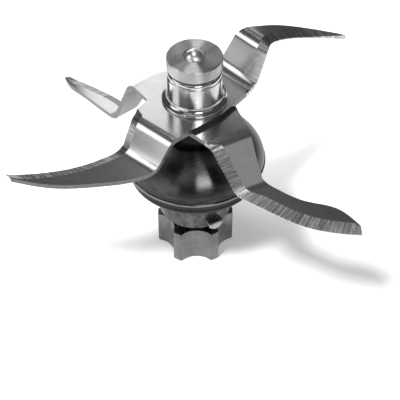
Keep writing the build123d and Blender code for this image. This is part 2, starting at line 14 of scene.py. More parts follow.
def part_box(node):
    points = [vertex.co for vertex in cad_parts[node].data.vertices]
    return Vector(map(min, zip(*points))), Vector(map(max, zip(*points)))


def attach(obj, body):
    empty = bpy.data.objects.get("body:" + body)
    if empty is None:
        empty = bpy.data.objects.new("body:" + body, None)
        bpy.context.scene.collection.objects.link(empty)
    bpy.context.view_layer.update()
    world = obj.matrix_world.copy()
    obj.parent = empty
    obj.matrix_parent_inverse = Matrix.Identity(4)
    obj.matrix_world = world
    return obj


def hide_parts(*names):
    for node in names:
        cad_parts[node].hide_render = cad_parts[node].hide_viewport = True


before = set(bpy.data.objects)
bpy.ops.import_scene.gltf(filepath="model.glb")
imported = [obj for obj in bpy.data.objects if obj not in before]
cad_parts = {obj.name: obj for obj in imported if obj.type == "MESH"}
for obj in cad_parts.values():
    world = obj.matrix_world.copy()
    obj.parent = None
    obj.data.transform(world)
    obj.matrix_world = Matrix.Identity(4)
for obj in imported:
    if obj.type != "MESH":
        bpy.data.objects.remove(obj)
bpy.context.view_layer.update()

bl_info = {
    "name": "Jug Blade Assembly",
    "version": (1, 0, 0),
    "blender": (4, 5, 0),
    "location": "View3D > Sidebar > Blades",
    "description": "Builds the looks of a jug's blade assembly round its packed frame",
    "category": "Object",
}

MM = 0.001
FIT_GAP = 0.02 * MM  # left between pressed pieces, and under the foot
ROTOR = "rotor"
HOUSING = "housing"


def low(node):
    """Lowest height of a node."""
    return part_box(node)[0].z


def top(node):
    """Highest height of a node."""
    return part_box(node)[1].z


def reach(node):
    """Largest radius of a turned node."""
    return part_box(node)[1].x


# Settings


def length(label, words, size):
    """Property for a length, begun at a size in millimetres."""
    return FloatProperty(name=label, description=words, default=size * MM, unit="LENGTH", precision=5)


def amount(label, words, default):
    """Property for a plain number."""
    return FloatProperty(name=label, description=words, default=default, min=0)


def angle(label, words, degrees):
    """Property for an angle."""
    return FloatProperty(name=label, description=words, default=radians(degrees), subtype="ANGLE")


def number(label, words, default):
    """Property for a count."""
    return IntProperty(name=label, description=words, default=default, min=1)


def grey(label, words, level):
    """Property for a colour, a neutral grey to begin with."""
    return FloatVectorProperty(
        name=label, description=words, default=(level, level, level), subtype="COLOR", size=3, min=0, max=1)


class StripSettings(PropertyGroup):
    """Sizes and colours of the two blade strips."""

    sheet: length("Sheet", "Thickness of a strip", 1.5)
    hub_radius: length("Hub radius", "Radius of a strip's round middle", 10.6)
    bend_radius: length("Bend radius", "Radius of the top face at each bend", 4.5)
    bevel: length("Bevel", "Width of the ground front", 3.1)
    edge: length("Edge", "Thickness left at the ground front", 0.3)
    heel_run: length("Heel run", "Length over which a ground front begins", 1.4)
    root_run: length("Root run", "Shortest flat kept before a first bend", 0.5)
    soft: length("Soft edge", "Width of the broken corners", 0.35)
    satin: grey("Satin", "Colour of the strips' faces", 0.62)
    ground: grey("Ground", "Colour of the ground fronts", 0.5)
    sheared: grey("Sheared", "Colour of the strips' sheared edges and broken corners", 0.16)
    # painted shade: the undersides take a darker copy of the satin colour
    underside_shade: grey("Underside", "Colour of the strips' undersides", 0.24)


class HubSettings(PropertyGroup):
    """Sizes and colours of the spindle, the cap and the collar."""

    spindle: length("Spindle", "Radius of the spindle", 4.0)
    tip: length("Tip", "Radius of the spindle's stepped end", 3.0)
    crown: length("Crown", "Height of the spindle's dome", 1.9)
    cap_chamfer: length("Cap chamfer", "Chamfer round the cap", 0.3)
    countersink: length("Countersink", "Depth of the cap's countersink", 0.4)
    body: length("Body", "Radius of the collar's straight body", 7.9)
    flange: length("Flange", "Height of the collar's flange", 0.8)
    flare: length("Flare", "Height at which the collar's flare ends", 2.5)
    bead: length("Bead", "Height of the collar's bead", 1.7)
    bead_radius: length("Bead radius", "Radius of the collar's bead", 8.0)
    bead_round: length("Bead round", "Rounding on top of the bead", 0.9)
    groove: length("Groove", "Radius of the groove under the bead", 0.25)
    neck: length("Neck", "Height of the collar's neck", 0.7)
    neck_radius: length("Neck radius", "Radius of the collar's neck", 6.4)
    turned: grey("Turned", "Colour of the turned cap", 0.6)
    # painted highlight: lighter than the turned cap's steel, so that the dome shows bright
    dome: grey("Dome", "Colour of the spindle and its domed end", 0.92)
    polished: grey("Polished", "Colour of the polished collar", 0.55)


class BaseSettings(PropertyGroup):
    """Sizes and colours of the seat, bell, ring, housing and pins."""

    bell_lip: length("Bell lip", "Height of the bell's rolled rim", 0.9)
    bell_wall: length("Bell wall", "Thickness of the bell", 0.6)
    bell_radius: length("Bell radius", "Radius of the bell above its rim", 21.2)
    bell_rise: length("Bell rise", "Height of the bell's whole dome", 11.4)
    bell_hole: length("Bell hole", "Radius of the bell's hole", 5.7)
    seat_wall: length("Seat wall", "Thickness of the seat's skirt", 1.1)
    seat_gap: length("Seat gap", "Gap between the seat and the bell", 0.7)
    seat_spigot: length("Seat spigot", "Radius of the seat's sleeve", 5.0)
    ring_seat: length("Ring seat", "Radius on which the sealing ring sits", 14.4)
    ring_groove: length("Ring groove", "Depth of the groove in the ring's rim", 0.7)
    ring_lip: length("Ring lip", "Height of the ring's lip", 0.95)
    neck_radius: length("Neck radius", "Radius of the housing's neck", 11.2)
    neck_length: length("Neck length", "Height of the housing's neck", 12.6)
    spigot: length("Spigot", "Radius of the housing's spigot", 14.0)
    register_radius: length("Register", "Radius of the step that centres the bell", 20.5)
    register_height: length("Register height", "Height of that step", 1.8)
    boss: length("Boss", "Radius of the housing's boss", 10.4)
    web: length("Web", "Radius of the bore between the bearings", 6.8)
    pin_radius: length("Pin radius", "Radius of a bayonet pin", 2.4)
    pin_root: length("Pin root", "Radius at which a pin's inner end stands", 8.9)
    pin_reach: length("Pin reach", "Radius at which a pin's outer end stands", 13.9)
    pin_flat: length("Pin flat", "Height of a pin's flat above its axis", 0.4)
    pin_azimuth: angle("Pin azimuth", "Direction of the first pin", -62)
    pin_count: number("Pins", "Number of pins round the neck", 2)
    dark: grey("Dark", "Colour of the bell", 0.1)
    # painted shade: near black, for the deep shade under the strips
    seat: grey("Seat", "Colour of the blade seat", 0.012)
    coat: grey("Coat", "Colour of the housing", 0.072)
    pin: grey("Pin", "Colour of the bayonet pins", 0.36)
    rubber: grey("Rubber", "Colour of the sealing ring", 0.012)


class CouplingSettings(PropertyGroup):
    """Sizes and colour of the lobed coupling."""

    lobes: number("Lobes", "Number of lobes", 6)
    height: length("Height", "Height of the lobed star", 12.3)
    radius: length("Radius", "Radius over the lobes", 12.0)
    floor: length("Floor", "Radius at the bottom of a flute", 9.0)
    flute: length("Flute", "Radius of a flute", 6.3)
    phase: angle("Phase", "Direction of the first lobe", 1.5)
    soft: length("Soft corner", "Rounding of the lobes' corners", 1.2)
    chamfer: length("Chamfer", "Chamfer at the star's foot and top", 0.5)
    boss: length("Boss", "Radius of the boss above the star", 5.0)
    pocket: length("Pocket", "Radius of the screw's pocket", 4.6)
    pocket_depth: length("Pocket depth", "Depth of the screw's pocket", 4.2)
    satin: grey("Satin", "Colour of the coupling", 0.17)


class StageSettings(PropertyGroup):
    """Camera, room and floor."""

    target: FloatVectorProperty(
        name="Target", description="Point that the camera looks at", subtype="XYZ",
        default=(1.51 * MM, 0, 16.84 * MM))
    elevation: angle("Elevation", "Camera's angle above the floor", 45.57)
    distance: length("Distance", "From the camera to its target", 350)
    lens: FloatProperty(name="Lens", description="Focal length", default=99.25, unit="CAMERA")
    floor_size: length("Floor size", "Side of the floor", 6000)
    floor: grey("Floor", "Colour of the floor", 0.85)
    near_glow: amount("Near glow", "Glow of the floor in front", 0.1)
    far_glow: amount("Far glow", "Glow of the floor behind", 0.5)
    near_edge: length("Near edge", "Depth at which the glow begins to grow", -25)
    far_edge: length("Far edge", "Depth at which the glow is full", 40)
    room: grey("Room", "Light of the room all round", 0.08)


SETTINGS = {
    "blade_strips": StripSettings,
    "blade_hub": HubSettings,
    "blade_base": BaseSettings,
    "blade_coupling": CouplingSettings,
    "blade_stage": StageSettings,
}


# Mesh tools

TURN_STEPS = 160
ARC_STEPS = 16
RIM_STEPS = 6
MERGE_DISTANCE = 0.0001 * MM
SMOOTH_LIMIT = radians(32)
SIDE_SHARE = 0.45  # share of a side that a broken or rounded corner may take
LEAD_IN = 1.1  # times a rounded corner's run, where the short flat that steadies its shading begins


def add_piece(name, mesh, body, node):
    """Puts a mesh in the scene as the piece that stands for a CAD node."""
    piece = bpy.data.objects.new(name, mesh)
    bpy.context.scene.collection.objects.link(piece)
    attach(piece, body)
    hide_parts(node)


def holder_of(mesh):
    """Object that carries a mesh while modifiers work on it."""
    holder = bpy.data.objects.new(mesh.name, mesh)
    bpy.context.scene.collection.objects.link(holder)
    return holder


def finished(holder):
    """Plain mesh of a holder with its modifiers applied; the holder is removed."""
    bpy.context.view_layer.update()
    graph = bpy.context.evaluated_depsgraph_get()
    mesh = bpy.data.meshes.new_from_object(holder.evaluated_get(graph))
    bpy.data.objects.remove(holder)
    return mesh


def outward(mesh, sharp=SMOOTH_LIMIT):
    """Merges doubles, turns the faces outwards, and shades smooth between sharp edges."""
    work = bmesh.new()
    work.from_mesh(mesh)
    bmesh.ops.remove_doubles(work, verts=work.verts, dist=MERGE_DISTANCE)
    bmesh.ops.recalc_face_normals(work, faces=work.faces)
    work.to_mesh(mesh)
    work.free()
    mesh.shade_smooth()
    mesh.set_sharp_from_angle(angle=sharp)
    return mesh


def weigh_corners(mesh, limit, width):
    """Weighs the corners to be broken, each as far as the faces beside it allow."""
    work = bmesh.new()
    work.from_mesh(mesh)
    weight = work.edges.layers.float.new("bevel_weight_edge")
    corners = {edge for edge in work.edges if edge.calc_face_angle(0.0) > limit}
    for edge in corners:
        sides = [side for vert in edge.verts for side in vert.link_edges if side not in corners]
        edge[weight] = min([1.0] + [SIDE_SHARE * side.calc_length() / width for side in sides])
    work.to_mesh(mesh)
    work.free()
    return mesh


def to_mesh(work, name):
    """Mesh of a finished bmesh."""
    mesh = bpy.data.meshes.new(name)
    work.to_mesh(mesh)
    work.free()
    return mesh


def skin(work, rows):
    """Quads between closed rows of equal length; returns them row by row."""
    faces = []
    for before, after in zip(rows, rows[1:]):
        ring = []
        for index in range(len(before)):
            ahead = (index + 1) % len(before)
            ring.append(work.faces.new((before[index], before[ahead], after[ahead], after[index])))
        faces.append(ring)
    return faces


def arc(centre, radii, start, end, steps):
    """Points on an elliptic arc between two angles."""
    turns = [start + (end - start) * step / steps for step in range(steps + 1)]
    return [(centre[0] + radii[0] * cos(turn), centre[1] + radii[1] * sin(turn)) for turn in turns]


def rounded(points, radius, steps=3):
    """Closed outline with each corner rounded by an arc, as far as its sides allow."""
    outline = []
    for index, corner in enumerate(points):
        here = Vector(corner)
        before = Vector(points[index - 1]) - here
        after = Vector(points[(index + 1) % len(points)]) - here
        half = before.angle(after) / 2
        run = min(radius / tan(half), before.length * SIDE_SHARE, after.length * SIDE_SHARE)
        before.normalize()
        after.normalize()
        centre = here + (before + after).normalized() * (run / cos(half))
        first, last = here + before * run - centre, here + after * run - centre
        outline.append(tuple(here + before * run * LEAD_IN))
        for step in range(steps + 1):
            outline.append(tuple(centre + first.lerp(last, step / steps).normalized() * first.length))
        outline.append(tuple(here + after * run * LEAD_IN))
    return outline


def rim(radius, upper, lower, corner):
    """Outer side of a flange from its top to its foot, with both corners rounded."""
    high = arc((radius - corner, upper - corner), (corner, corner), pi / 2, 0, RIM_STEPS)
    foot = arc((radius - corner, lower + corner), (corner, corner), 0, -pi / 2, RIM_STEPS)
    return [*high, *foot]


def add_node(tree, kind, inputs, **options):
    """New node with its options set, and its inputs set to values or linked to sockets."""
    made = tree.nodes.new(kind)
    for name, value in options.items():
        setattr(made, name, value)
    for key, value in inputs.items():
        if isinstance(value, bpy.types.NodeSocket):
            tree.links.new(value, made.inputs[key])
        else:
            made.inputs[key].default_value = value
    return made


def new_tree(name, inputs, output):
    """Empty Geometry Nodes tree with named inputs and one output; returns it and its inputs."""
    tree = bpy.data.node_groups.new(name, "GeometryNodeTree")
    for label, kind in inputs.items():
        tree.interface.new_socket(label, in_out="INPUT", socket_type="NodeSocket" + kind)
    tree.interface.new_socket(output, in_out="OUTPUT", socket_type="NodeSocketGeometry")
    return tree, tree.nodes.new("NodeGroupInput").outputs


def end_tree(tree, geometry, finish):
    """Ends a tree with real geometry in its finish."""
    real = add_node(tree, "GeometryNodeRealizeInstances", {"Geometry": geometry})
    dressed = add_node(tree, "GeometryNodeSetMaterial", {"Geometry": real.outputs[0], "Material": finish})
    add_node(tree, "NodeGroupOutput", {0: dressed.outputs[0]})
    return tree


def turning_tree():
    """Tree that turns a closed half outline round the axis."""
    name = "Turned solid"
    if name in bpy.data.node_groups:
        return bpy.data.node_groups[name]
    inputs = {"Outline": "Geometry", "Steps": "Int", "Path radius": "Float", "Finish": "Material"}
    tree, given = new_tree(name, inputs, "Solid")
    outline = add_node(tree, "GeometryNodeMeshToCurve", {"Mesh": given["Outline"]}).outputs[0]
    path = add_node(tree, "GeometryNodeCurvePrimitiveCircle",
                    {"Resolution": given["Steps"], "Radius": given["Path radius"]}).outputs[0]
    upright = add_node(tree, "GeometryNodeSetCurveNormal", {"Curve": path}, mode="Z_UP").outputs[0]
    swept = add_node(tree, "GeometryNodeCurveToMesh", {"Curve": upright, "Profile Curve": outline})
    return end_tree(tree, swept.outputs[0], given["Finish"])


def ring_tree():
    """Tree that stands copies of a piece round the axis."""
    inputs = {"Piece": "Geometry", "Count": "Int", "First": "Float", "Finish": "Material"}
    tree, given = new_tree("Pieces round the axis", inputs, "Pieces")
    spots = add_node(tree, "GeometryNodePoints", {"Count": given["Count"]}).outputs[0]
    index = add_node(tree, "GeometryNodeInputIndex", {}).outputs[0]
    pitch = add_node(tree, "ShaderNodeMath", {0: 2 * pi, 1: given["Count"]}, operation="DIVIDE").outputs[0]
    terms = {0: index, 1: pitch, 2: given["First"]}
    turn = add_node(tree, "ShaderNodeMath", terms, operation="MULTIPLY_ADD").outputs[0]
    rotation = add_node(tree, "ShaderNodeCombineXYZ", {"Z": turn}).outputs[0]
    copies = add_node(tree, "GeometryNodeInstanceOnPoints",
                      {"Points": spots, "Instance": given["Piece"], "Rotation": rotation})
    return end_tree(tree, copies.outputs[0], given["Finish"])


def run_tree(mesh, tree, values):
    """Plain mesh that a tree makes from a mesh, with its inputs set by their identifiers."""
    holder = holder_of(mesh)
    modifier = holder.modifiers.new(tree.name, "NODES")
    modifier.node_group = tree
    for item in tree.interface.items_tree:
        if item.in_out == "INPUT" and item.name in values:
            modifier[item.identifier] = values[item.name]
    return outward(finished(holder))


def add_turned(name, outline, finish, body, node):
    """Adds a piece turned from a closed outline of (radius, height) points."""
    path_radius = MM
    corners = [(radius - path_radius, -height, 0) for radius, height in outline]
    edges = [(index, (index + 1) % len(corners)) for index in range(len(corners))]
    mesh = bpy.data.meshes.new(name)
    mesh.from_pydata(corners, edges, [])
    values = {"Steps": TURN_STEPS, "Path radius": path_radius, "Finish": finish}
    add_piece(name, run_tree(mesh, turning_tree(), values), body, node)


# Finishes

QUARTER_TURN = 0.25
RIM_HIGHLIGHT_FADE = 0.1 * MM  # width over which the painted highlight on a rim sets in
SHADE_FADE_START, SHADE_FADE_END = 1.0 * MM, 7.0 * MM  # heights above a rim between which the painted shade on dark steel fades, so that it grows lighter
SCUFF_END, COAT_START = 15.0 * MM, 15.5 * MM  # radii between which the scuffs give way to a whole coat


class Finish:
    """A material under way: its shader, and short calls that add nodes to it."""

    def __init__(self, name, metallic, roughness):
        self.material = bpy.data.materials.new(name)
        self.material.use_nodes = True
        self.tree = self.material.node_tree
        self.shader = self.tree.nodes["Principled BSDF"].inputs
        self.shader["Metallic"].default_value = metallic
        self.shader["Roughness"].default_value = roughness

    def node(self, kind, inputs, **options):
        """New shader node of this material."""
        return add_node(self.tree, "ShaderNode" + kind, inputs, **options)

    def link(self, socket, name):
        """Links a socket to the shader."""
        self.tree.links.new(socket, self.shader[name])

    def math(self, operation, first, second=0.0):
        """Result of one operation on numbers."""
        return self.node("Math", {0: first, 1: second}, operation=operation).outputs[0]

    def place(self):
        """Coordinates fixed to the piece, in metres."""
        return self.node("TexCoord", {}).outputs["Object"]

    def along_arm(self):
        """Lengths along and across a blade arm, from its map."""
        return self.node("SeparateXYZ", {0: self.node("UVMap", {}).outputs[0]}).outputs[:2]

    def round_axis(self):
        """Radius, angle and height about the spindle's axis."""
        x, y, z = self.node("SeparateXYZ", {0: self.place()}).outputs
        squares = [self.math("MULTIPLY", side, side) for side in (x, y)]
        radius = self.math("SQRT", self.math("ADD", *squares))
        return radius, self.math("ARCTAN2", y, x), z

    def noise(self, vector, scale, detail=3.0, roughness=0.55):
        """Noise of about so many grains per metre, from 0 to 1."""
        inputs = {"Vector": vector, "Scale": scale, "Detail": detail, "Roughness": roughness}
        return self.node("TexNoise", inputs).outputs[0]

    def streaks(self, places, scales, detail=4.0, roughness=0.65):
        """Noise that is stretched by its own scale along each coordinate."""
        stretched = [self.math("MULTIPLY", place, scale) for place, scale in zip(places, scales)]
        vector = self.node("CombineXYZ", dict(enumerate(stretched))).outputs[0]
        return self.noise(vector, 1.0, detail, roughness)

    def spread(self, value, low_end, high_end, start=0.3, end=0.7):
        """Value carried from one range to another."""
        return self.node("MapRange", {0: value, 1: start, 2: end, 3: low_end, 4: high_end}).outputs[0]

    def colour(self, value, base, darker, lighter, start=0.3, end=0.7):
        """Base colour that runs between two shares of itself."""
        ends = [(*[min(1, part * share) for part in base], 1) for share in (darker, lighter)]
        mix = self.node("MixRGB", {0: self.spread(value, 0.0, 1.0, start, end), 1: ends[0], 2: ends[1]})
        self.link(mix.outputs[0], "Base Color")

    def roughness(self, value, low_end, high_end, start=0.3, end=0.7):
        """Roughness that follows a value."""
        self.link(self.spread(value, low_end, high_end, start, end), "Roughness")

    def relief(self, height, strength, depth):
        """Fine relief that follows a height."""
        bump = self.node("Bump", {"Height": height, "Strength": strength, "Distance": depth})
        self.link(bump.outputs[0], "Normal")

    def brushed_round(self, share):
        """Stretches reflections across marks that run round the axis."""
        self.shader["Anisotropic"].default_value = share
        self.shader["Anisotropic Rotation"].default_value = QUARTER_TURN
        self.link(self.node("Tangent", {}, direction_type="RADIAL", axis="Z").outputs[0], "Tangent")


def blade_satin(name, colour):
    """Satin sheet: faint brushing along the arm and a soft cloud."""
    steel = Finish(name, 1.0, 0.2)
    brush = steel.streaks(steel.along_arm(), (40.0, 900.0), 1.0)
    grain = steel.noise(steel.place(), 380.0, 2.0)
    steel.colour(grain, colour, 0.97, 1.03)
    steel.roughness(brush, 0.195, 0.215)
    return steel.material


def blade_scratched(name, colour, contrast):
    """Ground or sheared edge: coarse scratches straight across it."""
    steel = Finish(name, 1.0, 0.3)
    scratch = steel.streaks(steel.along_arm(), (1500.0, 90.0), 5.0, 0.75)
    steel.colour(scratch, colour, 1 - 0.35 * contrast, 1 + 0.4 * contrast, 0.36, 0.64)
    steel.roughness(scratch, 0.2, 0.34)
    steel.relief(scratch, 0.1 * contrast, 0.06 * MM)
    return steel.material


def turned_steel(name, colour, roughness, stretch):
    """Turned steel with fine rings round the axis."""
    steel = Finish(name, 1.0, roughness)
    radius, _, z = steel.round_axis()
    rings = steel.streaks((radius, z), (3600.0, 3600.0))
    cloud = steel.noise(steel.place(), 260.0, 2.0)
    steel.colour(rings, colour, 0.85, 1.12)
    steel.roughness(cloud, roughness * 0.85, roughness * 1.2)
    steel.relief(rings, 0.04, 0.03 * MM)
    if stretch:
        steel.brushed_round(stretch)
    return steel.material


def polished_steel(colour):
    """Polished steel with faint wipe marks round the axis."""
    steel = Finish("polished_steel", 1.0, 0.15)
    radius, _, z = steel.round_axis()
    wipe = steel.streaks((radius, z), (2000.0, 2000.0))
    steel.colour(wipe, colour, 0.92, 1.08)
    steel.roughness(wipe, 0.13, 0.2)
    steel.relief(wipe, 0.03, 0.03 * MM)
    steel.brushed_round(0.75)
    return steel.material


def dark_brushed(name, colour, stretch, rim_radius, rim_height):
    """Dark steel brushed round the axis, with painted shade that darkens it towards its foot and a painted
    highlight on its rim.
    """
    steel = Finish(name, 1.0, 0.3)
    radius, turn, z = steel.round_axis()
    brush = steel.streaks((radius, turn, z), (2400.0, 7.0, 2400.0), 4.0, 0.75)
    cloud = steel.noise(steel.place(), 130.0, 3.0)
    # painted highlight: the rim, beyond the bell's radius, is painted lighter
    wear_and_highlight = steel.spread(radius, 0.0, 1.0, rim_radius, rim_radius + RIM_HIGHLIGHT_FADE)
    # painted shade: darkest at the foot, lighter from a little above the rim upwards
    shade_fade = steel.spread(z, 0.0, 0.6, rim_height + SHADE_FADE_START, rim_height + SHADE_FADE_END)
    # brushing plus the painted rim highlight and the painted shade at the foot
    bright = steel.math("ADD", steel.math("ADD", brush, wear_and_highlight), shade_fade)
    steel.colour(bright, colour, 0.1, 2.4, 0.3, 1.6)
    steel.roughness(steel.math("ADD", brush, cloud), 0.21, 0.28, 0.7, 1.3)
    steel.relief(brush, 0.22, 0.04 * MM)
    steel.brushed_round(stretch)
    return steel.material


def scuffed_coat(colour):
    """Dark coat, scuffed to a lighter grey in places."""
    coat = Finish("scuffed_coat", 0.6, 0.4)
    radius, turn, z = coat.round_axis()
    scuff = coat.streaks((turn, z), (5.0, 330.0), 5.0, 0.6)
    wear_and_highlight = coat.math("MULTIPLY", scuff, coat.spread(radius, 1.0, 0.0, SCUFF_END, COAT_START))
    coat.colour(wear_and_highlight, colour, 0.3, 2.4, 0.3, 0.7)
    coat.roughness(scuff, 0.3, 0.45)
    coat.relief(scuff, 0.1, 0.06 * MM)
    return coat.material


def black_rubber(name, colour):
    """Black rubber with a dull bloom."""
    rubber = Finish(name, 0.0, 0.46)
    bloom = rubber.noise(rubber.place(), 320.0, 4.0)
    rubber.colour(bloom, colour, 0.6, 2.0)
    rubber.roughness(bloom, 0.38, 0.55)
    rubber.relief(bloom, 0.08, 0.08 * MM)
    return rubber.material


def cast_satin(name, colour, metallic, roughness):
    """Satin surface with a fine cast grain."""
    cast = Finish(name, metallic, roughness)
    grain = cast.noise(cast.place(), 1400.0, 4.0, 0.65)
    cloud = cast.noise(cast.place(), 170.0, 2.0)
    cast.colour(cast.math("ADD", grain, cloud), colour, 0.8, 1.2, 0.8, 1.2)
    cast.roughness(grain, roughness * 0.85, roughness * 1.2)
    cast.relief(grain, 0.1, 0.04 * MM)
    return cast.material


# Blade strips

BEND_STEPS = 10
SWEEP_STEPS = 42
FACE_STEPS = 6
CURVE_STEPS = 240
HUB_STEPS = 10
HEEL_STEPS = 4
SATIN, GROUND, SHEARED, UNDERSIDE = range(4)
EDGE_FINISHES = {FACE_STEPS: GROUND, FACE_STEPS + 1: GROUND, 2 * FACE_STEPS + 3: SHEARED}
EDGE_FINISHES.update((index, UNDERSIDE) for index in range(FACE_STEPS + 2, 2 * FACE_STEPS + 3))
EDGE_BREAK = 0.2  # share of the grind that breaks the edge before the heel
GRIND_LIMIT = 0.8  # share of a section's width that the grind may take
BEND_CLEAR = 0.5  # millimetres between a bend and the first section of the sweep
CORNER_STEPS = 3
CORNER_LIMIT = radians(38)
STRIP_SMOOTH_LIMIT = radians(16)


class Arm(NamedTuple):
    """One blade arm in plan, in millimetres: along the arm, then across it to the left."""

    azimuth: float
    heel: float
    first_bend: float
    slope: float
    second_bend: float
    tilt: float
    leading: tuple
    trailing: tuple


# Plan outlines: root, second bend, then the sweep out to the tip
FRONT_LEFT = Arm(
    azimuth=229.0, heel=14.5, first_bend=18.2, slope=51.0, second_bend=24.5, tilt=3.0,
    leading=((14.2, -9.4), (23.4, -7.5), (30.7, -10.0), (37.7, -13.6), (43.7, -18.3), (51.6, -26.4)),
    trailing=((14.2, 8.0), (23.4, 6.9), (28.9, 4.5), (36.9, -1.9), (46.2, -12.1), (52.0, -23.4)),
)
BACK_RIGHT = Arm(
    azimuth=43.0, heel=15.6, first_bend=15.8, slope=-63.0, second_bend=21.8, tilt=10.0,
    leading=((14.6, -8.4), (21.5, -7.3), (26.6, -5.9), (32.3, -7.0), (41.4, -12.2), (46.6, -15.9)),
    trailing=((14.6, 7.2), (21.5, 4.4), (26.6, 2.2), (31.1, 0.2), (39.0, -6.6), (45.2, -14.1)),
)
FRONT_RIGHT = Arm(
    azimuth=-62.0, heel=18.2, first_bend=19.0, slope=46.0, second_bend=29.5, tilt=9.0,
    leading=((17.8, -5.2), (29.1, -2.3), (36.7, 3.0), (43.5, 7.7), (48.2, 12.2), (55.5, 23.2)),
    trailing=((17.8, 7.9), (28.0, 6.4), (33.0, 9.3), (39.5, 14.2), (45.3, 21.0), (53.2, 24.0)),
)
BACK_LEFT = Arm(
    azimuth=130.0, heel=16.8, first_bend=19.1, slope=65.4, second_bend=27.6, tilt=7.0,
    leading=((17.4, -2.2), (27.6, 2.6), (38.6, 2.8), (45.4, 3.8), (51.9, 5.0), (57.1, 6.6)),
    trailing=((17.4, 9.6), (27.6, 9.9), (36.9, 9.8), (46.4, 9.6), (53.6, 9.4), (56.9, 8.4)),
)


def curve_through(points, count):
    """Natural cubic curve through points, as samples at even steps of its length."""
    knots = np.array(points, float)
    gaps = np.linalg.norm(np.diff(knots, axis=0), axis=1)
    at = np.concatenate(([0.0], np.cumsum(gaps)))
    system = np.eye(len(knots))
    right = np.zeros_like(knots)
    for row in range(1, len(knots) - 1):
        system[row, row - 1:row + 2] = gaps[row - 1], 2 * (gaps[row - 1] + gaps[row]), gaps[row]
        slopes = np.diff(knots[row - 1:row + 2], axis=0) / gaps[row - 1:row + 1, None]
        right[row] = 6 * (slopes[1] - slopes[0])
    bend = np.linalg.solve(system, right)
    places = np.linspace(0, at[-1], count)
    cells = np.clip(np.searchsorted(at, places, side="right") - 1, 0, len(gaps) - 1)
    gap = gaps[cells, None]
    left = places[:, None] - at[cells, None]
    ahead = gap - left
    curve = (bend[cells] * ahead**3 + bend[cells + 1] * left**3) / (6 * gap)
    curve += (knots[cells] / gap - bend[cells] * gap / 6) * ahead
    curve += (knots[cells + 1] / gap - bend[cells + 1] * gap / 6) * left
    return [Vector(spot) for spot in curve.tolist()]


class Outline:
    """One edge of an arm in plan: straight to its second bend, then a smooth sweep."""

    def __init__(self, points):
        self.root, self.bend = (Vector(point) for point in points[:2])
        self.sweep = curve_through(points[1:], CURVE_STEPS + 1)

    def at(self, out):
        """Point at a distance out, before the sweep turns away."""
        if out <= self.bend.x:
            return self.root.lerp(self.bend, (out - self.root.x) / (self.bend.x - self.root.x))
        return min(self.sweep[:CURVE_STEPS // 2], key=lambda spot: abs(spot.x - out))

    def swept(self, share):
        """Point and heading at a share of the sweep."""
        index = round(share * CURVE_STEPS)
        before, after = self.sweep[max(index - 1, 0)], self.sweep[min(index + 1, CURVE_STEPS)]
        return self.sweep[index], (after - before).normalized()


